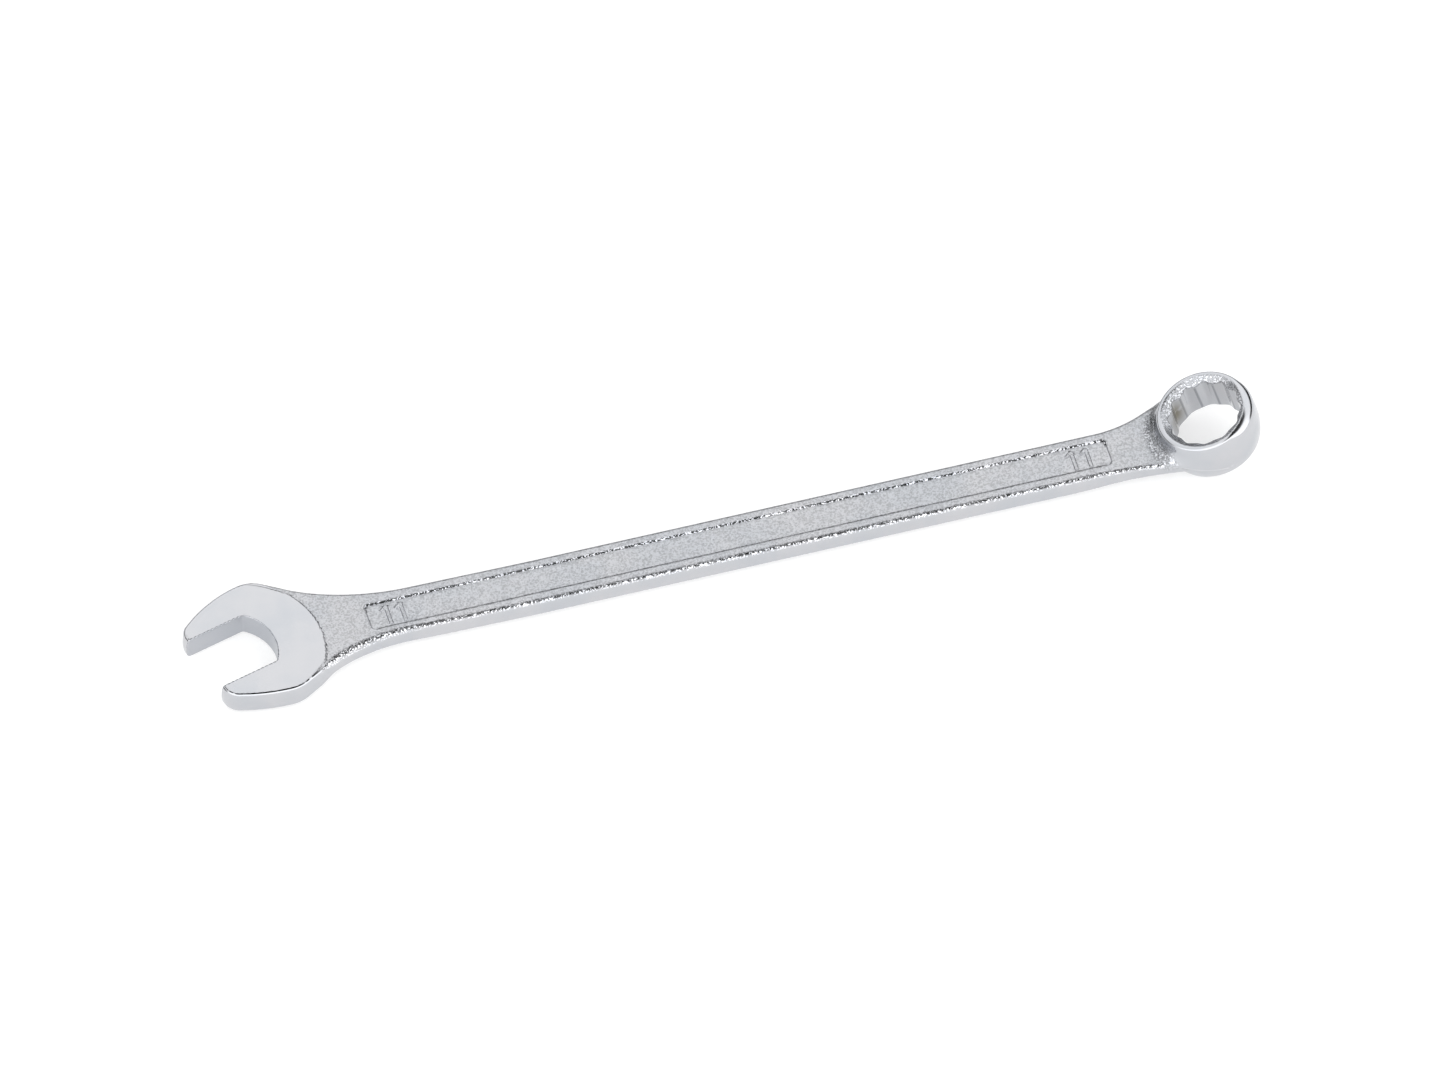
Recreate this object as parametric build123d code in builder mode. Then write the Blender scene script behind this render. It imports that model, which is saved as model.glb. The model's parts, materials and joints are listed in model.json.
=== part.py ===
from build123d import *
from math import cos, radians, sin
import os

# Combination wrench, 11 mm, long pattern: one drop forging with an open end and an offset 12-point ring.
# Frame: origin where the centre line of the jaws crosses the centre line of the shank, half way through
# the thickness. +X runs along the shank to the ring, +Z points out of the face that the ring rises from.

# ---- driving dimensions, in millimetres and degrees ----
nut_across_flats = 11.0     # the nut or bolt head that both ends turn

shank_width = 9.1
shank_thick = 3.75
shank_edge_r = 0.9          # rounding along the shank's four long edges
heads_apart = 165.8         # from the origin to the ring's centre, along X

# open end
jaw_clearance = 0.06        # added across the nut's flats
jaw_angle = 15.0            # the jaws turn towards -Y by this much
jaw_wall = 6.12             # from a jaw's inner face to the head's circle
jaw_overhang = 0.8          # the jaws reach this far past the seated nut's inscribed circle
nut_seat = 1.6              # the seated nut's centre lies this far out along the jaw line
throat_clearance = 0.1      # behind the seated nut's corner
throat_bow = 2.57           # the throat's radius is half the gap and this much more
head_back = 1.4             # how far the head's circle is centred behind the origin, along the jaw line
head_thick = 4.3            # across the two ground faces
head_edge_r = 0.35
shoulder_out = 0.85         # the far shoulder stands this far outside the head's circle
shoulder_angle = 75.0       # its direction from the head's centre, from +X towards +Y
shoulder_r = 5.2
neck_x = 28.0               # where the straight part of the shank's lean ends
neck_shift = 0.45           # the shank leans this far to +Y at the neck
neck_straight = 24.0        # length over which the shank leans
neck_slope = 29.5           # angle of the neck's sides where they leave the head
neck_flare_r = 27.5         # the hollow curve between neck and shank

# ring end
ring_clearance = 0.1        # added across the nut's flats
ring_tilt = 15.0            # the far side of the ring rises by this angle
ring_lift = 3.25            # ring centre above the shank's middle plane
ring_height = 8.2
ring_wall = 1.42            # from the 12 points to the rim of the flat faces
ring_bulge = 0.67           # the barrel's middle stands this far outside the rims
ring_edge_r = 0.3
lead_in_width = 1.3         # entry chamfer on the upper face, outside the inward ridges
lead_in_depth = 1.0
lead_out_width = 0.95       # the same on the lower face
lead_out_depth = 0.5
ring_neck_flare_r = 27.0    # the hollow curve where the shank widens into the ring
point_r = 0.3               # rounding of the 12 points and of the ridges between them

# sunk panel on both faces of the shank
panel_start = 21.0          # from the origin to the panel's near end
panel_to_ring = 17.1        # from the panel's far end to the ring's centre
panel_rim = 1.8             # land on each side of the panel
panel_depth = 0.4
panel_corner_r = 1.0
panel_draft = 25.0

# raised size numerals, two ones at each end of each panel
numeral_height = 4.0
numeral_stroke = 0.7
numeral_pitch = 2.5
numeral_raise = 0.25
numeral_inset = 4.8         # from the panel's end to the middle of the pair

# ---- places worked out from the dimensions ----
nut_point_r = nut_across_flats / 2 / cos(radians(30))
jaw_gap = nut_across_flats + jaw_clearance
head_radius = jaw_gap / 2 + jaw_wall
jaw_tip = nut_seat + nut_across_flats / 2 + jaw_overhang
throat_depth = nut_point_r - nut_seat + throat_clearance
throat_radius = jaw_gap / 2 + throat_bow

ring_flat_r = (nut_across_flats + ring_clearance) / 2
point_circle_r = ring_flat_r / cos(radians(30))
ridge_r = ring_flat_r / cos(radians(15))
ring_face_r = point_circle_r + ring_wall
ring_barrel_r = ring_face_r + ring_bulge

half_width = shank_width / 2
half_thick = shank_thick / 2
half_ring = ring_height / 2
panel_end = heads_apart - panel_to_ring
panel_width = shank_width - 2 * panel_rim

jaw_line = Vector(-cos(radians(jaw_angle)), -sin(radians(jaw_angle)), 0)
jaw_plane = Plane(origin=(0, 0, 0), x_dir=jaw_line, z_dir=(0, 0, 1))
head_centre = jaw_line * -head_back
shoulder_line = Vector(cos(radians(shoulder_angle)), sin(radians(shoulder_angle)), 0)
shoulder_centre = head_centre + shoulder_line * (head_radius + shoulder_out - shoulder_r)

ring_centre = Vector(heads_apart, 0, ring_lift)
ring_along = Vector(cos(radians(ring_tilt)), 0, sin(radians(ring_tilt)))
ring_axis = Vector(-sin(radians(ring_tilt)), 0, cos(radians(ring_tilt)))
ring_plane = Plane(origin=ring_centre, x_dir=ring_along, z_dir=ring_axis)
ring_section = Plane(origin=ring_centre, x_dir=ring_along, z_dir=(0, -1, 0))


def neck_side(side):
    """The neck's outline on one side, from the head's circle to the straight shank, side +1 or -1."""
    slope = radians(neck_slope)
    edge_y = half_width + side * neck_shift
    leave_x = head_centre.X + head_radius * sin(slope)
    leave_y = side * head_centre.Y + head_radius * cos(slope)
    # The hollow curve turns the side from the neck's slope to the shank's direction.
    curve_start_y = edge_y + neck_flare_r * (1 - cos(slope))
    curve_start_x = leave_x + (leave_y - curve_start_y) * cos(slope) / sin(slope)
    curve_end_x = curve_start_x + neck_flare_r * sin(slope)
    middle = slope / 2
    middle_x = curve_end_x - neck_flare_r * sin(middle)
    middle_y = edge_y + neck_flare_r * (1 - cos(middle))
    return [
        (leave_x, side * leave_y),
        (curve_start_x, side * curve_start_y),
        (middle_x, side * middle_y),
        (curve_end_x, side * edge_y),
        (neck_x + neck_straight, side * half_width),
    ]


def ring_neck_side(side):
    """The shank's widening into the ring: start, middle and end of a curve tangent to both."""
    reach = ring_neck_flare_r + ring_barrel_r
    rise = half_width + ring_neck_flare_r
    start_x = heads_apart - (reach**2 - rise**2) ** 0.5
    end_x = heads_apart - (heads_apart - start_x) * ring_barrel_r / reach
    end_y = rise * ring_barrel_r / reach
    middle_x = (start_x + end_x) / 2
    middle_y = rise - (ring_neck_flare_r**2 - (middle_x - start_x) ** 2) ** 0.5
    return [(start_x, side * half_width), (middle_x, side * middle_y), (end_x, side * end_y)]


def is_ring_rim(edge):
    """True for the two round edges between the ring's flat faces and its barrel."""
    return abs(edge.radius - ring_face_r) < 0.01


with BuildPart() as wrench:
    # Shank with both necks, flat on both faces.
    far = neck_side(1)
    near = neck_side(-1)
    far_ring = ring_neck_side(1)
    near_ring = ring_neck_side(-1)
    with BuildSketch(Plane.XY.offset(-half_thick)):
        with BuildLine():
            Line(far[0], far[1])
            ThreePointArc(far[1], far[2], far[3])
            Line(far[3], far[4])
            Line(far[4], far_ring[0])
            ThreePointArc(*far_ring)
            Line(far_ring[2], near_ring[2])
            ThreePointArc(*reversed(near_ring))
            Line(near_ring[0], near[4])
            Line(near[4], near[3])
            ThreePointArc(near[3], near[2], near[1])
            Line(near[1], near[0])
            Line(near[0], far[0])
        make_face()
    extrude(amount=shank_thick)
    long_edges = wrench.edges().filter_by_position(Axis.X, neck_x / 3, heads_apart)
    flat_edges = long_edges.group_by(Axis.Z)
    fillet(flat_edges[0] + flat_edges[-1], shank_edge_r)

    # Open head: a disc with a raised shoulder, a little thicker than the neck, ground flat on both faces.
    with BuildSketch(Plane.XY.offset(-head_thick / 2)):
        with Locations((head_centre.X, head_centre.Y)):
            Circle(head_radius)
        with Locations((shoulder_centre.X, shoulder_centre.Y)):
            Circle(shoulder_r)
        make_hull()
    extrude(amount=head_thick)
    head_rims = wrench.faces().filter_by(Plane.XY).group_by(Axis.Z)
    fillet((head_rims[0] + head_rims[-1]).edges(), head_edge_r)

    # Jaw tips: the disc is cut off square to the jaw line.
    with BuildSketch(jaw_plane.offset(-head_thick)):
        with Locations((jaw_tip + head_radius, 0)):
            Rectangle(2 * head_radius, 4 * head_radius)
    extrude(amount=2 * head_thick, mode=Mode.SUBTRACT)

    # Gap between the jaws, with a hollow throat.
    with BuildSketch(jaw_plane.offset(-head_thick)):
        with BuildLine():
            throat_edge = throat_radius - throat_depth - (throat_radius**2 - (jaw_gap / 2) ** 2) ** 0.5
            Line((2 * jaw_tip, -jaw_gap / 2), (throat_edge, -jaw_gap / 2))
            ThreePointArc((throat_edge, -jaw_gap / 2), (-throat_depth, 0), (throat_edge, jaw_gap / 2))
            Line((throat_edge, jaw_gap / 2), (2 * jaw_tip, jaw_gap / 2))
            Line((2 * jaw_tip, jaw_gap / 2), (2 * jaw_tip, -jaw_gap / 2))
        make_face()
    extrude(amount=2 * head_thick, mode=Mode.SUBTRACT)

    # Ring: a barrel turned about the tilted axis.
    with BuildSketch(ring_section):
        with BuildLine():
            Line((0, -half_ring), (ring_face_r, -half_ring))
            ThreePointArc((ring_face_r, -half_ring), (ring_barrel_r, 0), (ring_face_r, half_ring))
            Line((ring_face_r, half_ring), (0, half_ring))
            Line((0, half_ring), (0, -half_ring))
        make_face()
    revolve(axis=Axis(ring_centre, ring_axis))
    ring_rims = wrench.edges().filter_by(GeomType.CIRCLE).filter_by(is_ring_rim)
    fillet(ring_rims, ring_edge_r)

    # 12-point opening: two hexagons, a twelfth of a turn apart, with rounded points and ridges.
    with BuildSketch(ring_plane.offset(-ring_height)) as star:
        RegularPolygon(point_circle_r, 6, rotation=15)
        RegularPolygon(point_circle_r, 6, rotation=45)
        fillet(star.vertices(), point_r)
    extrude(amount=2 * ring_height, mode=Mode.SUBTRACT)

    # Entry chamfers, conical, deeper on the upper face.
    for face, width, depth in ((1, lead_in_width, lead_in_depth), (-1, lead_out_width, lead_out_depth)):
        mouth_r = ridge_r + width
        apex = face * (half_ring - depth * mouth_r / width)
        with BuildSketch(ring_section):
            with BuildLine():
                Polyline((0, face * half_ring), (mouth_r, face * half_ring), (0, apex), close=True)
            make_face()
        revolve(axis=Axis(ring_centre, ring_axis), mode=Mode.SUBTRACT)

    # Sunk panels, one on each face of the shank.
    panel_length = panel_end - panel_start
    for face in (1, -1):
        face_plane = Plane(
            origin=((panel_start + panel_end) / 2, 0, face * half_thick),
            x_dir=(1, 0, 0),
            z_dir=(0, 0, face),
        )
        with BuildSketch(face_plane):
            RectangleRounded(panel_length, panel_width, panel_corner_r)
        extrude(amount=-panel_depth, taper=panel_draft, mode=Mode.SUBTRACT)

    # Size numerals standing on the panels' floors.
    for face in (1, -1):
        for pair_x in (panel_start + numeral_inset, panel_end - numeral_inset):
            floor = Plane(
                origin=(pair_x, 0, face * (half_thick - panel_depth)),
                x_dir=(face, 0, 0),
                z_dir=(0, 0, face),
            )
            with BuildSketch(floor):
                with GridLocations(numeral_pitch, 0, 2, 1):
                    Rectangle(numeral_stroke, numeral_height)
                with GridLocations(numeral_pitch, 0, 2, 1):
                    with Locations((-numeral_stroke / 2, numeral_height / 2 - numeral_stroke)):
                        Rectangle(numeral_stroke, numeral_stroke, rotation=45)
            extrude(amount=numeral_raise)

wrench.part.label = "wrench"
os.makedirs("parts", exist_ok=True)
export_step(wrench.part, "parts/wrench.step")
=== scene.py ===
"""A drop-forged combination wrench: open jaws at one end, an offset 12-point ring at the other."""

import json
import math

import bpy
import numpy as np
import openvdb
from mathutils import Matrix, Vector


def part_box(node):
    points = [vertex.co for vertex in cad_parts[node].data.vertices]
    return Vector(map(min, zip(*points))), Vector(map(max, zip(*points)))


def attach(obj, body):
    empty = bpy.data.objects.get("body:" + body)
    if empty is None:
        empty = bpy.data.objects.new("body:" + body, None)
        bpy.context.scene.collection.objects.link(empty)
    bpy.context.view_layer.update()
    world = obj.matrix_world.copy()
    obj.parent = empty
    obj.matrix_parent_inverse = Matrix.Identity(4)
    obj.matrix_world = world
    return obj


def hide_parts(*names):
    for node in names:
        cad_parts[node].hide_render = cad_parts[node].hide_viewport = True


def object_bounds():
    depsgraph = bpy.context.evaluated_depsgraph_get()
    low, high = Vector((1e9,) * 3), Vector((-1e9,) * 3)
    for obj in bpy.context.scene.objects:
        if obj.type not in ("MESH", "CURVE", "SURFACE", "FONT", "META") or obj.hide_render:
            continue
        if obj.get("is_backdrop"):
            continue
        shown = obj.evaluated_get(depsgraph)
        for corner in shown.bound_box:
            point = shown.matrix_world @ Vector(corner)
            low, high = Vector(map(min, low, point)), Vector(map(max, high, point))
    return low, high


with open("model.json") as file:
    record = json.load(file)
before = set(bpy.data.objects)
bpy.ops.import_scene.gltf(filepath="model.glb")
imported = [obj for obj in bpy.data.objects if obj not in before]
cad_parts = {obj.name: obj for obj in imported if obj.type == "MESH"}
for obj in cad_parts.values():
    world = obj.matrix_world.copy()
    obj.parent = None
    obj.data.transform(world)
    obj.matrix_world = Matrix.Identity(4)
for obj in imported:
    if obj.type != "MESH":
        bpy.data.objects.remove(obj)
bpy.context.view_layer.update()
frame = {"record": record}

bl_info = {
    "name": "Forged combination wrench",
    "version": (1, 0, 0),
    "blender": (4, 5, 0),
    "location": "View3D > Sidebar > Wrench",
    "description": "Builds a chrome-plated combination wrench and the table it lies on",
    "category": "Add Mesh",
}

MM = 0.001
MOUNTS = {m["name"]: m for m in frame["record"]["mounts"]}
RING_CENTRE = Vector(MOUNTS["ring_opening"]["pos_m"]) / MM
RING_AXIS = Vector(MOUNTS["ring_opening"]["axis"]).normalized()
RING_HEIGHT = MOUNTS["ring_opening"]["dims"]["length_mm"]
JAW_LINE = Vector(MOUNTS["open_jaws"]["axis"]).normalized()
ARC_STEPS = 16
HEAD_THICK = (MOUNTS["head_upper_face"]["pos_m"][2] - MOUNTS["head_under_face"]["pos_m"][2]) / MM

# Camera: its turn, tip and roll in degrees, its middle and the width it sees in mm, its distance in m.
VIEW_AZIMUTH, VIEW_ELEVATION, VIEW_ROLL = -15.9, 51.55, -0.08
VIEW_SHIFT, VIEW_WIDTH, VIEW_DISTANCE = (78.93, 18.29), 239.4, 1.5
FLOOR_SIZE, FLOOR_MIDDLE_X = 8.0, 0.08


# ---------------------------------------------------------------- sizes a user would change


class ForgingSizes(bpy.types.PropertyGroup):
    """Sizes of the forging, in millimetres."""

    shank_width: bpy.props.FloatProperty(
        name="Shank width",
        description="Across the shank, in mm",
        default=9.1,
        min=6.0,
        max=14.0,
    )
    shank_thick: bpy.props.FloatProperty(
        name="Shank thickness",
        description="Between the shank's two faces, in mm",
        default=3.75,
        min=2.5,
        max=6.0,
    )
    shank_edge: bpy.props.FloatProperty(
        name="Shank edge",
        description="Rounding of the shank's long edges, in mm",
        default=0.75,
        min=0.2,
        max=1.5,
    )
    across_flats: bpy.props.FloatProperty(
        name="Across flats",
        description="Size of the nut that both ends fit, in mm",
        default=11.0,
        min=8.0,
        max=14.0,
    )
    panel_depth: bpy.props.FloatProperty(
        name="Panel depth",
        description="How far the long panels are sunk, in mm",
        default=0.4,
        min=0.1,
        max=0.8,
    )
    numeral_raise: bpy.props.FloatProperty(
        name="Numeral height",
        description="How far the size numerals stand up, in mm",
        default=0.18,
        min=0.05,
        max=0.4,
    )
    voxel: bpy.props.FloatProperty(
        name="Mesh pitch",
        description="Distance between mesh lines on the heads, in mm",
        default=0.21,
        min=0.1,
        max=0.6,
    )


# ---------------------------------------------------------------- solid shapes as distance fields


def round_union(a, b, r):
    """Two solids joined with a hollow fillet of radius r between them."""
    inner = np.hypot(np.maximum(r - a, 0), np.maximum(r - b, 0))
    return np.maximum(np.minimum(a, b), r) - inner


def round_common(a, b, r):
    """What two solids share, with its edge rounded to radius r."""
    outer = np.hypot(np.maximum(r + a, 0), np.maximum(r + b, 0))
    return np.minimum(np.maximum(a, b), -r) + outer


def round_cut(a, b, r):
    """Solid a with solid b cut out of it, the cut's edge rounded to radius r."""
    return round_common(a, -b, r)


def soft_min(a, b, k):
    """The smaller of two values, blended over a width k where they are close."""
    h = np.clip(0.5 + 0.5 * (b - a) / k, 0, 1)
    return b + (a - b) * h - k * h * (1 - h)


def soft_max(a, b, k):
    """The larger of two values, blended over a width k where they are close."""
    return -soft_min(-a, -b, k)


def ramp(v, low, high):
    """0 below low, 1 above high and a smooth step between."""
    t = np.clip((v - low) / (high - low), 0, 1)
    return t * t * (3 - 2 * t)


def arcs(x, y, heading, runs):
    """Points along an outline that starts at x, y and turns by each run's degrees on its radius."""
    heading = math.radians(heading)
    xs, ys = [x], [y]
    for radius, turn in runs:
        if turn == 0:
            x += radius * math.cos(heading)
            y += radius * math.sin(heading)
            xs.append(x)
            ys.append(y)
            continue
        bit = math.radians(turn) / ARC_STEPS
        for _ in range(ARC_STEPS):
            chord = 2 * radius * math.sin(abs(bit) / 2)
            x += chord * math.cos(heading + bit / 2)
            y += chord * math.sin(heading + bit / 2)
            heading += bit
            xs.append(x)
            ys.append(y)
    return xs, ys


class Forging:
    """The wrench as one distance field, in millimetres, negative inside the steel."""

    TIP_REACH, TIP_BULGE, TIP_CORNER = 8.12, 0.3, 1.3
    THROAT_DEPTH, THROAT_R = 4.85, 8.1
    GROUND_AT, GROUND_R = (2.2, -0.5), 14.9
    HEAD_EDGE, NECK_EDGE = 0.52, 1.35
    # side: start of the jaw's outside in x and |y|, its heading,
    # then (radius, turn) of each arc to the shank, or (length, 0) of a straight
    JAW_SIDE = {
        1: (-7.92, 7.17, 41.7, ((24.5, -26.5), (5.2, -46.6), (4.2, 0), (13, 5.4), (43, 24.2))),
        -1: (-5.64, 9.62, 18.7, ((32, -18.8), (6.5, -29.9), (4.75, 0), (25.7, 14.8), (36.2, 16.1))),
    }
    SHANK_FROM = 50.0
    # side: where the neck starts to widen towards the ring, then the same for each arc into the ring
    RING_SIDE = {
        1: (147.2, ((21.0, 24.0), (3.2, 0), (7.5, -59.0))),
        -1: (146.0, ((60.0, 9.0), (12.0, 0))),
    }
    UNDER_RISE, RISE_FROM, RISE_TO = 1.3, 141.0, 161.0
    RING_WALL, RING_BULGE, RING_EDGE, RING_END_EDGE = 1.42, 0.67, 0.32, 1.5
    BORE_LEAN = math.radians(-3.5)
    PANEL_START, PANEL_TO_RING, PANEL_RIM = 21.0, 17.1, 1.8

    def __init__(self, sizes):
        self.s = sizes
        self.half_w = sizes.shank_width / 2
        self.half_t = sizes.shank_thick / 2
        self.gap = sizes.across_flats / 2 + 0.03
        self.flat_r = sizes.across_flats / 2 + 0.05
        self.half_h = RING_HEIGHT / 2
        self.face_r = self.flat_r / math.cos(math.radians(30)) + self.RING_WALL
        self.sides = {side: self.side_line(side) for side in (1, -1)}

    def side_line(self, side):
        """Outline of one side of head, neck and shank as x and |y|, from the jaws to the ring."""
        x, y, heading, runs = self.JAW_SIDE[side]
        xs, ys = arcs(x, y, heading, ((20, 0),))
        back_x, back_y = 2 * x - xs[1], 2 * y - ys[1]
        xs, ys = arcs(x, y, heading, runs)
        start, runs = self.RING_SIDE[side]
        ring_xs, ring_ys = arcs(start, self.half_w, 0, runs)
        xs = [back_x, *xs, self.SHANK_FROM, *ring_xs]
        ys = [back_y, *ys, self.half_w, *ring_ys]
        return np.array(xs), np.array(ys)

    def plan(self, x, y):
        """Distance from the side of head, neck and shank, seen from above."""
        out = []
        for side in (1, -1):
            line = self.sides[side]
            edge = np.interp(x, *line)
            slope = (np.interp(x + 0.15, *line) - np.interp(x - 0.15, *line)) / 0.3
            out.append((side * y - edge) / np.sqrt(1 + slope**2))
        return np.maximum(*out)

    def jaw_coords(self, x, y):
        """Place along the jaws' centre line, outwards, and across it, towards -Y."""
        a = x * JAW_LINE.x + y * JAW_LINE.y
        b = x * JAW_LINE.y - y * JAW_LINE.x
        return a, b

    def bar(self, x, y, z):
        """Head, neck and shank in one, with the two raised ground faces, before anything is cut."""
        plan = self.plan(x, y)
        a, b = self.jaw_coords(x, y)
        tip = a - self.TIP_REACH + self.TIP_BULGE * (2 * z / HEAD_THICK) ** 2
        side = round_common(np.maximum(plan, x - RING_CENTRE.x), tip, self.TIP_CORNER)
        rise = self.UNDER_RISE * ramp(x, self.RISE_FROM, self.RISE_TO)
        off_ground = self.off_ground(a, b)
        step = 0.12 + 2.2 * ramp(plan, -1.5, -0.2)
        half = self.half_t + (HEAD_THICK / 2 - self.half_t) * (1 - ramp(off_ground, -step, step))
        faces = np.maximum(z - half, -z - half + rise)
        edge = self.HEAD_EDGE + (self.s.shank_edge - self.HEAD_EDGE) * ramp(off_ground, -0.5, 4)
        neck = ramp(off_ground, -0.3, 1.8) * (1 - ramp(off_ground, 3, 22)) * ramp(-y, 0, 1)
        edge = edge + (self.NECK_EDGE - edge) * neck
        return round_common(side, faces, edge)

    def off_ground(self, a, b):
        """Distance outside the round edge of the ground faces."""
        return np.hypot(a - self.GROUND_AT[0], b - self.GROUND_AT[1]) - self.GROUND_R

    def gap_cut(self, x, y):
        """The gap between the jaws with its hollow throat."""
        a, b = self.jaw_coords(x, y)
        back = np.hypot(np.minimum(a - (self.THROAT_R - self.THROAT_DEPTH), 0), b) - self.THROAT_R
        return round_common(np.abs(b) - self.gap, back, 0.25)

    def ring_coords(self, x, y, z):
        """Place along the tilted ring, across it and up its axis."""
        dx, dz = x - RING_CENTRE.x, z - RING_CENTRE.z
        along = dx * RING_AXIS.z - dz * RING_AXIS.x
        height = dx * RING_AXIS.x + dz * RING_AXIS.z
        return along, y, height

    def ring(self, along, across, height):
        """Barrel-shaped ring before its opening is cut."""
        across_r = np.maximum(np.hypot(along, across), 1e-3)
        outer_end = ramp((along * 0.94 - across * 0.34) / across_r, 0.6, 0.97) * ramp(height, 0, 1)
        bulge = self.RING_BULGE * (1 - np.abs(height / self.half_h) ** (2.2 + 4.3 * outer_end))
        wall = across_r - self.face_r - bulge
        edge = self.RING_EDGE + (self.RING_END_EDGE - self.RING_EDGE) * outer_end
        return round_common(wall, np.abs(height) - self.half_h, edge)

    def opening(self, along, across, height):
        """The 12-point hole: two hexagons a twelfth of a turn apart, with conical mouths."""
        across_r = np.hypot(along, across)
        face_height = height
        along, height = (
            along * math.cos(self.BORE_LEAN) + height * math.sin(self.BORE_LEAN),
            height * math.cos(self.BORE_LEAN) - along * math.sin(self.BORE_LEAN),
        )
        hexes = []
        for turn in (15, 45):
            flats = []
            for k in range(3):
                angle = math.radians(turn + 30 + 60 * k)
                flats.append(np.abs(along * math.cos(angle) + across * math.sin(angle)))
            hexes.append(soft_max(soft_max(flats[0], flats[1], 0.5), flats[2], 0.5) - self.flat_r)
        star = soft_min(hexes[0], hexes[1], 0.12)
        ridge = self.flat_r / math.cos(math.radians(15))
        for face, width, depth in ((1, 1.35, 1.0), (-1, 1.2, 1.2)):
            flare = width / depth
            cone = across_r - ridge - (face * face_height - self.half_h + depth) * flare
            star = soft_min(star, cone / math.hypot(1, flare), 0.1)
        return star

    def panel(self, x, y, z):
        """The long sunk panel on each face, a hollow with sloping walls."""
        start, end = self.PANEL_START, RING_CENTRE.x - self.PANEL_TO_RING
        middle, half_l = (start + end) / 2, (end - start) / 2
        half = self.half_w - self.PANEL_RIM
        corner = 1.0
        qx = np.abs(x - middle) - half_l + corner
        qy = np.abs(y - 0.1) - half + corner
        outline = np.hypot(np.maximum(qx, 0), np.maximum(qy, 0))
        outline = outline + np.minimum(np.maximum(qx, qy), 0) - corner
        floor = self.half_t - self.s.panel_depth
        draft = 0.35
        wall = (outline - (np.abs(z) - self.half_t) * draft) / math.hypot(1, draft)
        return round_common(wall, floor - np.abs(z), 0.12)

    def numerals(self, x, y, z):
        """The size, two ones, raised from the panel's floor at each end of each face."""
        start, end = self.PANEL_START, RING_CENTRE.x - self.PANEL_TO_RING
        top = self.half_t - self.s.panel_depth + self.s.numeral_raise
        best = np.full_like(x, 1e3)
        read = np.where(z > 0, 1.0, -1.0)
        for pair in (start + 4.8, end - 4.8):
            for step in (-1.25, 1.25):
                u, v = (x - pair) * read - step, y
                bar = np.maximum(np.abs(u) - 0.33, np.abs(v) - 2.0)
                fu, fv = u + 0.55, v - 1.45
                across, down = fu * 0.64 - fv * 0.77, fu * 0.77 + fv * 0.64
                flag = np.maximum(np.abs(across) - 0.26, np.abs(down) - 0.72)
                best = np.minimum(best, soft_min(bar, flag, 0.1))
        return round_common(best, np.abs(z) - top, 0.12)

    def __call__(self, p):
        x, y, z = p[..., 0], p[..., 1], p[..., 2]
        body = round_cut(self.bar(x, y, z), self.panel(x, y, z), 0.1)
        body = soft_min(body, self.numerals(x, y, z), 0.08)
        body = round_cut(body, self.gap_cut(x, y), 0.1)
        along, across, height = self.ring_coords(x, y, z)
        root = 0.3 + 2.3 * ramp(z, 0.3, 2.0) + 0.9 * ramp(-z, 0, 1.5)
        body = round_union(body, self.ring(along, across, height), root)
        return round_cut(body, self.opening(along, across, height), 0.1)


# ---------------------------------------------------------------- from field to mesh


def warped_axis(low, high, fine, coarse, head_end, ring_start):
    """Mesh lines along the shank: close together on the heads and wide apart between them."""
    lines = [low]
    while lines[-1] < high:
        middle = ramp(lines[-1], head_end, head_end + 6) * (1 - ramp(lines[-1], ring_start - 6, ring_start))
        lines.append(lines[-1] + fine + (coarse - fine) * float(middle))
    return np.array(lines)


def skin(field, low, high, pitch):
    """Quads over the field's zero surface, with each corner moved exactly onto it."""
    xs = warped_axis(low[0], high[0], pitch, 3.7 * pitch, 30.0, 140.0)
    ys = np.arange(low[1], high[1] + pitch, pitch)
    zs = np.arange(low[2], high[2] + pitch, pitch)
    values = np.empty((len(xs), len(ys), len(zs)), np.float32)
    for i in range(0, len(xs), 40):
        grid = np.stack(np.meshgrid(xs[i : i + 40], ys, zs, indexing="ij"), -1)
        values[i : i + 40] = np.clip(field(grid), -1.5, 1.5)
    vdb = openvdb.FloatGrid(1.5)
    vdb.copyFromArray(values)
    points, quads = vdb.convertToQuads(isovalue=0.0)
    points = np.array(points, float)
    where = np.stack(
        [
            np.interp(points[:, 0], np.arange(len(xs)), xs),
            low[1] + points[:, 1] * pitch,
            low[2] + points[:, 2] * pitch,
        ],
        -1,
    )
    for _ in range(4):
        slope = gradient(field, where)
        step = field(where) / np.maximum((slope**2).sum(-1), 0.2)
        where -= np.clip(step, -pitch, pitch)[:, None] * slope
    return where, np.array(quads)


def gradient(field, where, h=0.01):
    """Slope of the field at each point."""
    out = np.empty_like(where)
    for axis in range(3):
        step = np.zeros(3)
        step[axis] = h
        out[:, axis] = (field(where + step) - field(where - step)) / (2 * h)
    return out


def mesh_object(name, points, quads, normals, zones):
    """Mesh with exact normals and one named value per corner for each zone of finish."""
    mesh = bpy.data.meshes.new(name)
    mesh.vertices.add(len(points))
    mesh.vertices.foreach_set("co", (points * MM).astype(np.float32).ravel())
    mesh.loops.add(quads.size)
    mesh.loops.foreach_set("vertex_index", quads.astype(np.int32).ravel())
    mesh.polygons.add(len(quads))
    mesh.polygons.foreach_set("loop_start", np.arange(0, quads.size, 4, dtype=np.int32))
    mesh.update(calc_edges=True)
    mesh.polygons.foreach_set("use_smooth", np.ones(len(mesh.polygons), bool))
    for zone, values in zones.items():
        mesh.attributes.new(zone, "FLOAT", "POINT").data.foreach_set("value", values.astype(np.float32))
    mesh.normals_split_custom_set_from_vertices(normals)
    piece = bpy.data.objects.new(name, mesh)
    bpy.context.scene.collection.objects.link(piece)
    return piece


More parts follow.
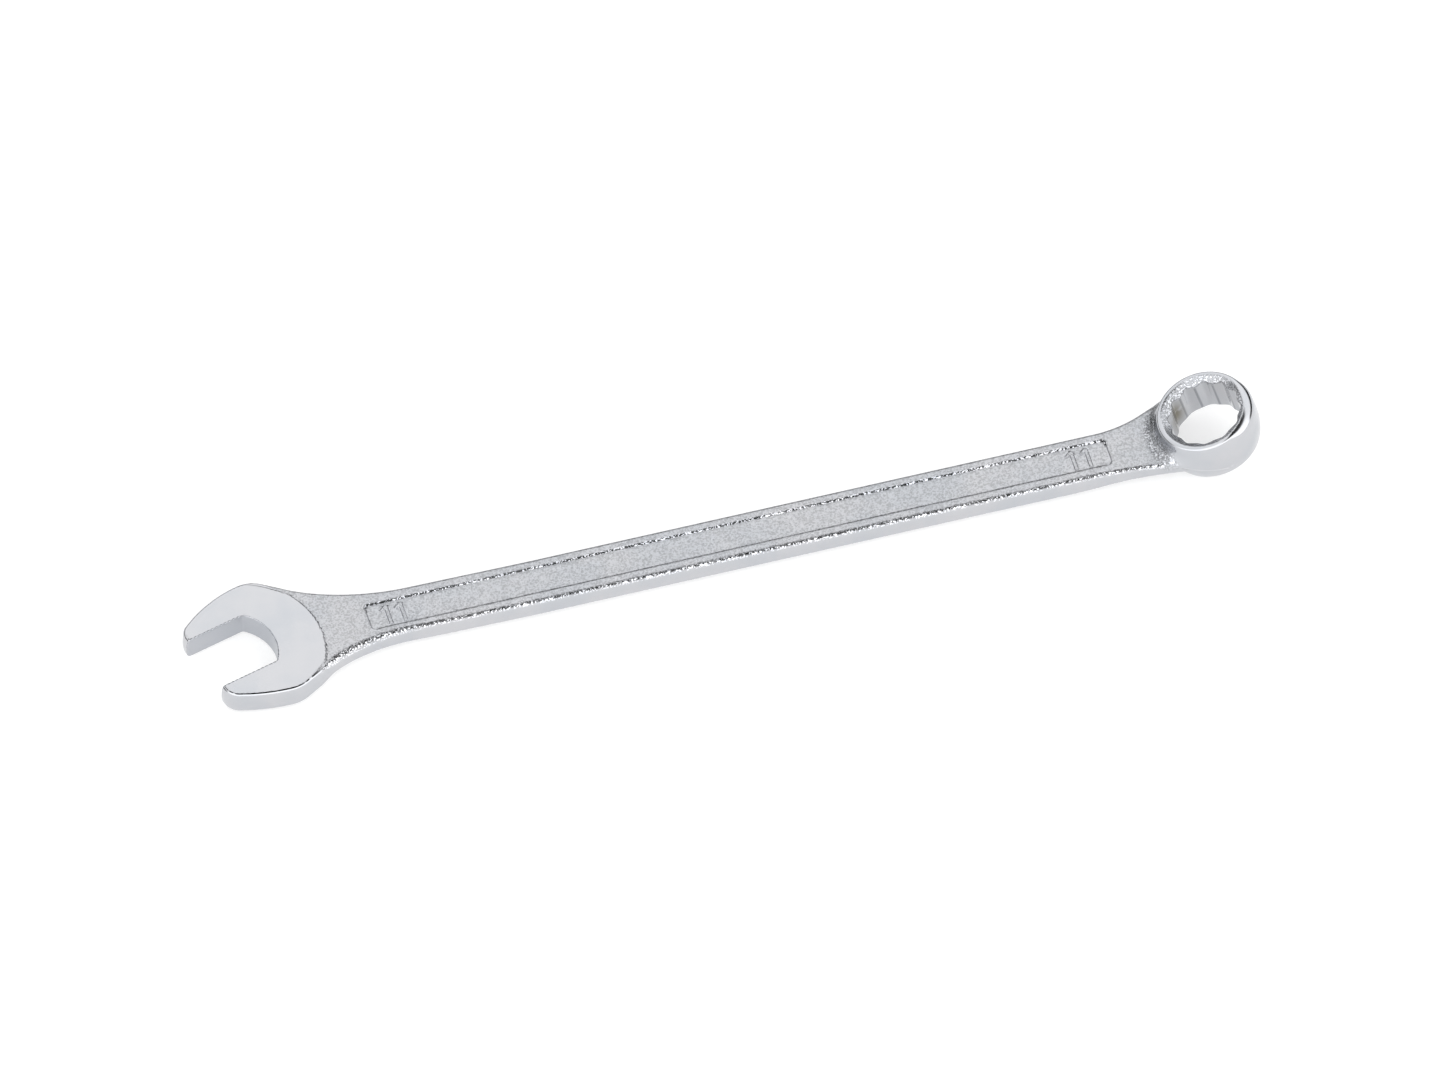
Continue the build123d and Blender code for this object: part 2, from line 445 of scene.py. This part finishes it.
def finish_zones(forging, where, normals):
    """How much of each finish, painted shade and painted glint every corner of the mesh has, from 0 to 1.
    """
    x, y, z = where.T
    upright = np.abs(normals[:, 2])
    faces_far = normals[:, 1]
    a, b = forging.jaw_coords(x, y)
    along, across, height = forging.ring_coords(x, y, z)
    from_ring = np.hypot(along, across)
    panel = forging.panel(x, y, z)

    in_bore = 1 - ramp(forging.opening(along, across, height), 0.05, 0.25)
    in_gap = 1 - ramp(forging.gap_cut(x, y), 0.05, 0.2)
    on_head = 1 - ramp(forging.off_ground(a, b), -0.2, 0.1)
    # The hollow on the shank's side of the ring, below the ring's upper rim.
    hollow = ramp(-along / np.maximum(from_ring, 1e-3), 0.78, 0.93) * ramp(z, 0, 1)
    hollow = hollow * ramp(forging.half_h - height, 0.8, 1.6)
    hollow = hollow * (1 - ramp(from_ring, forging.face_r + 2.4, forging.face_r + 3.6))
    on_ring = 1 - ramp(from_ring, forging.face_r + 0.9, forging.face_r + 1.8)
    on_ring = on_ring * (1 - hollow)
    off_heads = (1 - on_ring) * (1 - on_head)
    off_flat = 1 - ramp(upright, 0.95, 0.998)
    outside_panel = ramp(panel, 0.1, 0.35)

    tarnish = np.exp(-(((along + 4.6) / 1.5) ** 2) - ((across - 4.2) / 1.9) ** 2 - (height / 2.4) ** 2)
    panel_rim = (1 - ramp(np.abs(panel), 0.1, 0.35)) * ramp(y, 1.0, 2.0) * off_flat
    mouth = ramp(height, forging.half_h - 1.2, forging.half_h - 0.8) * (1 - ramp(upright, 0.9, 0.97))
    rounded = ramp(upright, 0.22, 0.4) * outside_panel * (1 - ramp(faces_far, 0.05, 0.2))
    # Painted shade: far-facing rounded edges, darkened in the colour.
    far_edge_shade = ramp(upright, 0.15, 0.3) * outside_panel * ramp(faces_far, 0.05, 0.3)
    return {
        "bore": in_bore,
        "tarnish": tarnish * in_bore,
        "gap": in_gap * (1 - on_ring),
        "ground": on_head * ramp(upright, 0.9, 0.99) * (1 - in_gap),
        "edge": rounded * off_flat * off_heads * (1 - hollow),
        "blasted": ramp(upright, 0.5, 0.8) * off_heads,
        "far_edge_shade": far_edge_shade * off_heads,
        "head": on_head * (1 - in_gap),
        "hollow": hollow * (1 - in_bore),
        # Where painted dark reflections and glints speckle the panels' far rims and the ring's mouths.
        "painted_speck_rims": np.maximum(panel_rim, 0.3 * mouth * in_bore),
    }


class WRENCH_OT_forge(bpy.types.Operator):
    """Forge the wrench's body"""

    bl_idname = "wrench.forge"
    bl_label = "Forge body"

    def execute(self, context):
        sizes = context.scene.forging
        low, high = (np.array(v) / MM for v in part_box("wrench"))
        forging = Forging(sizes)
        margin = 1.2
        points, quads = skin(forging, low - margin, high + margin, sizes.voxel)
        normals = gradient(forging, points)
        normals /= np.linalg.norm(normals, axis=1, keepdims=True)
        zones = finish_zones(forging, points, normals)
        body = mesh_object("wrench_body", points, quads, normals, zones)
        body.data.materials.append(chrome(context.scene.finish, forging))
        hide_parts("wrench")
        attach(body, "root")
        return {"FINISHED"}


class FinishColours(bpy.types.PropertyGroup):
    """Colours of the plating, of the shade painted on it, and of the stage."""

    plate: bpy.props.FloatVectorProperty(
        name="Plating",
        description="Colour of the chrome plating",
        default=(0.515, 0.528, 0.555),
        subtype="COLOR",
    )
    warm: bpy.props.FloatVectorProperty(
        name="Warm plating",
        description="Colour of the plating's thinner patches",
        default=(0.53, 0.532, 0.55),
        subtype="COLOR",
    )
    # Painted shade: the jaws' inner faces are mixed halfway towards this darker colour.
    inner: bpy.props.FloatVectorProperty(
        name="Painted jaw shade",
        description="Colour inside the jaws",
        default=(0.40, 0.42, 0.46),
        subtype="COLOR",
    )
    # Painted shade: dark lines drawn along the ridges of the ring's opening.
    ridge: bpy.props.FloatVectorProperty(
        name="Painted ridge shade",
        description="Colour of the ridges in the ring's opening",
        default=(0.16, 0.17, 0.19),
        subtype="COLOR",
    )
    tarnish: bpy.props.FloatVectorProperty(
        name="Tarnish",
        description="Colour of the worn patch in the ring",
        default=(0.20, 0.18, 0.13),
        subtype="COLOR",
    )
    light: bpy.props.FloatVectorProperty(
        name="Light",
        description="Colour of the room light",
        default=(0.99, 0.995, 1.0),
        subtype="COLOR",
    )
    floor: bpy.props.FloatVectorProperty(
        name="Floor",
        description="Colour of the table top",
        default=(0.48, 0.48, 0.48),
        subtype="COLOR",
    )
    glow: bpy.props.FloatProperty(
        name="Table glow",
        description="How brightly the table top is lit from below",
        default=0.57,
        min=0.0,
        max=2.0,
    )


class Nodes:
    """A short way to lay and link nodes in one tree."""

    def __init__(self, tree):
        self.tree = tree

    def add(self, kind, inputs=None, **settings):
        node = self.tree.nodes.new(kind)
        for name, value in settings.items():
            setattr(node, name, value)
        for socket, value in (inputs or {}).items():
            self.feed(node.inputs[socket], value)
        return node

    def feed(self, socket, value):
        if isinstance(value, bpy.types.NodeSocket):
            self.tree.links.new(value, socket)
        else:
            socket.default_value = value

    def math(self, operation, a, b=0.0, c=0.0, clamp=False):
        node = self.add("ShaderNodeMath", {0: a, 1: b, 2: c}, operation=operation, use_clamp=clamp)
        return node.outputs[0]

    def span(self, value, low, high, to_low=0.0, to_high=1.0):
        """A smooth step from to_low to to_high as the value goes from low to high."""
        inputs = {"Value": value, "From Min": low, "From Max": high}
        inputs |= {"To Min": to_low, "To Max": to_high}
        return self.add("ShaderNodeMapRange", inputs, interpolation_type="SMOOTHSTEP").outputs["Result"]

    def times(self, *values):
        out = values[0]
        for value in values[1:]:
            out = self.math("MULTIPLY", out, value)
        return out

    def mix(self, share, a, b):
        return self.add("ShaderNodeMix", {"Factor": share, "A": a, "B": b}).outputs["Result"]

    def blend(self, share, a, b, kind="MIX"):
        node = self.add("ShaderNodeMix", data_type="RGBA", blend_type=kind)
        for socket, value in zip((node.inputs[0], node.inputs[6], node.inputs[7]), (share, a, b)):
            self.feed(socket, value)
        return node.outputs[2]

    def noise(self, where, scale, detail=2.0, rough=0.5):
        inputs = {"Vector": where, "Scale": scale, "Detail": detail, "Roughness": rough}
        return self.add("ShaderNodeTexNoise", inputs).outputs["Fac"]

    def zone(self, name):
        return self.add("ShaderNodeAttribute", attribute_name=name).outputs["Fac"]


def ground_lip_shade(n, where, x, facing_y, leaning):
    """Painted dark reflection: a dashed dark line along the near rim of the ground faces, from 0 to 1."""
    rounding = n.times(n.span(leaning, 0.80, 0.90), n.span(leaning, 0.996, 0.975))
    near_side = n.times(n.span(facing_y, -0.04, -0.15), n.span(x, 12 * MM, 9 * MM))
    line_breaks = n.span(n.noise(where, 1100, 2), 0.38, 0.46)
    return n.times(rounding, near_side, n.zone("head"), line_breaks)


def panel_foot_shade(n, x, y, z, forging):
    """Painted shade: a thin dark line along the foot of each panel's near wall, from 0 to 1."""
    foot_y = (forging.PANEL_RIM - forging.half_w + 0.47) * MM
    start = (forging.PANEL_START + 0.5) * MM
    end = (RING_CENTRE.x - forging.PANEL_TO_RING - 0.5) * MM
    line = n.span(n.math("ABSOLUTE", n.math("SUBTRACT", y, foot_y)), 0.16 * MM, 0.09 * MM)
    length = n.times(n.span(x, start, start + MM), n.span(x, end, end - MM))
    on_face = n.span(n.math("ABSOLUTE", z), 1.3 * MM, 1.5 * MM)
    return n.times(line, length, on_face)


def ring_ridge_shade(n, x, y, z):
    """Where painted shade darkens the 12 ridges of the ring's opening, between its two mouths, from 0 to 1.
    """
    along = n.math("MULTIPLY_ADD", x, RING_AXIS.z, n.math("MULTIPLY", z, -RING_AXIS.x))
    along_centre = RING_CENTRE.x * RING_AXIS.z - RING_CENTRE.z * RING_AXIS.x
    along = n.math("SUBTRACT", along, along_centre * MM)
    height = n.math("MULTIPLY_ADD", x, RING_AXIS.x, n.math("MULTIPLY", z, RING_AXIS.z))
    height = n.math("SUBTRACT", height, RING_CENTRE.dot(RING_AXIS) * MM)
    turn = n.math("MULTIPLY", n.math("ARCTAN2", y, along), 12.0)
    between_mouths = n.span(n.math("ABSOLUTE", height), 3.1 * MM, 2.6 * MM)
    return n.times(n.span(n.math("COSINE", turn), 0.84, 0.98), between_mouths)


def chrome(finish, forging):
    """Chrome plating over blasted, ground and polished steel, with painted shade, dark reflections and
    glints in its colour.
    """
    mat = bpy.data.materials.new("chrome_plate")
    mat.use_nodes = True
    n = Nodes(mat.node_tree)
    bsdf = mat.node_tree.nodes["Principled BSDF"]
    bsdf.inputs["Metallic"].default_value = 1.0
    coords = n.add("ShaderNodeTexCoord")
    where = coords.outputs["Object"]
    x, y, z = n.add("ShaderNodeSeparateXYZ", {0: where}).outputs
    _, facing_y, facing_z = n.add("ShaderNodeSeparateXYZ", {0: coords.outputs["Normal"]}).outputs
    leaning = n.math("ABSOLUTE", facing_z)

    grain = n.noise(where, 3000, 3, 0.6)
    coarse = n.noise(where, 3100, 2, 0.6)
    cloud = n.noise(where, 90, 4, 0.6)
    blasted, ground, hollow = n.zone("blasted"), n.zone("ground"), n.zone("hollow")
    edge, far_edge_shade = n.zone("edge"), n.zone("far_edge_shade")
    bore, gap, tarnish = n.zone("bore"), n.zone("gap"), n.zone("tarnish")

    # Painted sparkle: dark specks (painted dark reflections) above the middle of each rounded edge, bright
    # specks (painted glints) below it, and both on the panels' far rims, the ring's mouths and the hollow.
    painted_speck_rims = n.math("MAXIMUM", n.zone("painted_speck_rims"), n.times(hollow, 0.45))
    upper = n.times(edge, n.span(leaning, 0.58, 0.8))
    lower = n.times(edge, n.span(leaning, 0.95, 0.75))
    dark = n.times(n.span(coarse, 0.55, 0.48), n.math("MAXIMUM", upper, painted_speck_rims))
    bright = n.times(n.span(coarse, 0.50, 0.58), n.math("MAXIMUM", lower, painted_speck_rims))
    pits = n.times(n.span(grain, 0.58, 0.38), blasted)

    shade = 1.0
    # The grey adds the steel's own blasted tone and pits, then painted light and shade: dark reflections
    # and glints on the edges, shade at the panels' feet, a dark reflection along the ground faces' near rim
    # and shade on the far edges.
    for amount, share in (
        (blasted, 0.17),
        (pits, -0.36),
        (dark, -0.9),
        (bright, 0.75),
        (panel_foot_shade(n, x, y, z, forging), -0.6),
        (ground_lip_shade(n, where, x, facing_y, leaning), -0.95),
        (far_edge_shade, -0.5),
    ):
        shade = n.math("MULTIPLY_ADD", amount, share, shade)
    shade = n.math("MAXIMUM", n.times(shade, n.span(cloud, 0.3, 0.7, 0.97, 1.03)), 0.03)
    grey = n.add("ShaderNodeCombineColor", {0: shade, 1: shade, 2: shade}).outputs[0]

    colour = n.blend(n.span(cloud, 0.35, 0.65), (*finish.plate, 1), (*finish.warm, 1))
    colour = n.blend(1.0, colour, grey, "MULTIPLY")
    # Painted shade in the gap between the jaws.
    colour = n.blend(n.times(gap, 0.5), colour, (*finish.inner, 1))
    # Painted shade along the ring's ridges.
    colour = n.blend(n.times(ring_ridge_shade(n, x, y, z), bore, 0.5), colour, (*finish.ridge, 1))
    worn = n.span(n.noise(where, 500, 3), 0.32, 0.48)
    colour = n.blend(n.math("MULTIPLY", tarnish, worn, clamp=True), colour, (*finish.tarnish, 1))
    n.feed(bsdf.inputs["Base Color"], colour)

    rough = n.mix(blasted, 0.15, 0.34)
    for zone, roughness in ((ground, 0.26), (gap, 0.30), (bore, 0.20), (edge, 0.12)):
        rough = n.mix(zone, rough, roughness)
    rough = n.math("MULTIPLY_ADD", n.span(grain, 0.2, 0.8, -0.06, 0.06), blasted, rough)
    n.feed(bsdf.inputs["Roughness"], rough)

    relief = n.times(grain, n.mix(blasted, 0.006, 1.0))
    relief = n.math("MULTIPLY_ADD", coarse, n.times(dark, 2.2), relief)
    bump = n.add("ShaderNodeBump", {"Height": relief, "Strength": 1.0, "Distance": 0.12 * MM})
    n.feed(bsdf.inputs["Normal"], bump.outputs["Normal"])
    return mat


def studio(finish):
    """Pale room light: bright in front and above, dim low at the back and right overhead."""
    world = bpy.data.worlds.new("studio")
    world.use_nodes = True
    n = Nodes(world.node_tree)
    where = n.add("ShaderNodeTexCoord").outputs["Generated"]
    x, y, z = n.add("ShaderNodeSeparateXYZ", {0: where}).outputs
    unlit, floor_level = 0.03, 1.05

    # A narrow unlit strip overhead, from front to back.
    beside = n.span(n.math("ABSOLUTE", n.math("SUBTRACT", x, 0.17)), 0.34, 0.24)
    overhead = n.times(n.span(z, 0.86, 0.92), beside)
    back_sky = n.mix(overhead, n.mix(n.span(z, 0.24, 0.5), unlit, 1.45), unlit)
    back_sky = n.times(back_sky, n.span(x, -0.45, 0.05, 0.84, 1.0))
    front_sky = n.mix(overhead, n.mix(n.span(z, 0.02, 0.2), 0.4, 1.95), unlit)
    sky = n.mix(n.span(y, 0.2, -0.2), back_sky, front_sky)
    # A low dark corner on the right, and pale from the floor's level down.
    right = n.times(n.span(x, 0.48, 0.62), n.span(z, 0.50, 0.36), n.span(y, -0.15, 0.05))
    sky = n.mix(right, sky, 0.02)
    sky = n.mix(n.span(z, 0.06, 0.03), sky, floor_level)

    background = world.node_tree.nodes["Background"]
    n.feed(background.inputs["Strength"], sky)
    background.inputs["Color"].default_value = (*finish.light, 1)
    return world


class WRENCH_OT_stage(bpy.types.Operator):
    """Lay out the floor, the light and the camera"""

    bl_idname = "wrench.stage"
    bl_label = "Set the stage"

    def execute(self, context):
        scene = context.scene
        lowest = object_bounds()[0][2]
        bpy.ops.mesh.primitive_plane_add(size=FLOOR_SIZE, location=(FLOOR_MIDDLE_X, 0, lowest))
        floor = context.object
        floor.name = "floor"
        mat = bpy.data.materials.new("floor")
        mat.use_nodes = True
        sockets = mat.node_tree.nodes["Principled BSDF"].inputs
        sockets["Base Color"].default_value = (*scene.finish.floor, 1)
        sockets["Roughness"].default_value = 0.8
        sockets["Emission Color"].default_value = (1, 1, 1, 1)
        sockets["Emission Strength"].default_value = scene.finish.glow
        floor.data.materials.append(mat)
        floor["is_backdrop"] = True

        scene.world = studio(scene.finish)
        azimuth, elevation, roll = (math.radians(v) for v in (VIEW_AZIMUTH, VIEW_ELEVATION, VIEW_ROLL))
        back = Vector(
            (
                math.sin(azimuth) * math.cos(elevation),
                -math.cos(azimuth) * math.cos(elevation),
                math.sin(elevation),
            )
        )
        right = Vector((math.cos(azimuth), math.sin(azimuth), 0))
        up = back.cross(right)
        right, up = (
            math.cos(roll) * right + math.sin(roll) * up,
            math.cos(roll) * up - math.sin(roll) * right,
        )
        aim = (right * VIEW_SHIFT[0] + up * VIEW_SHIFT[1]) * MM
        data = bpy.data.cameras.new("camera")
        data.type = "ORTHO"
        data.ortho_scale = VIEW_WIDTH * MM
        data.clip_end = 20
        camera = bpy.data.objects.new("camera", data)
        scene.collection.objects.link(camera)
        turn = Matrix((right, up, back)).transposed().to_4x4()
        camera.matrix_world = Matrix.Translation(aim + back * VIEW_DISTANCE) @ turn
        scene.camera = camera
        scene.view_settings.view_transform = "Standard"
        return {"FINISHED"}


class WRENCH_PT_panel(bpy.types.Panel):
    """Buttons for each step of the making"""

    bl_label = "Wrench"
    bl_idname = "WRENCH_PT_panel"
    bl_space_type = "VIEW_3D"
    bl_region_type = "UI"
    bl_category = "Wrench"

    def draw(self, context):
        for step in STEPS:
            self.layout.operator(step.bl_idname)


STEPS = (WRENCH_OT_forge, WRENCH_OT_stage)
CLASSES = (ForgingSizes, FinishColours, *STEPS, WRENCH_PT_panel)


def register():
    for cls in CLASSES:
        bpy.utils.register_class(cls)
    bpy.types.Scene.forging = bpy.props.PointerProperty(type=ForgingSizes)
    bpy.types.Scene.finish = bpy.props.PointerProperty(type=FinishColours)


def unregister():
    del bpy.types.Scene.finish
    del bpy.types.Scene.forging
    for cls in reversed(CLASSES):
        bpy.utils.unregister_class(cls)


def main():
    register()
    bpy.ops.wrench.forge()
    bpy.ops.wrench.stage()


if __name__ == "__main__":
    main()
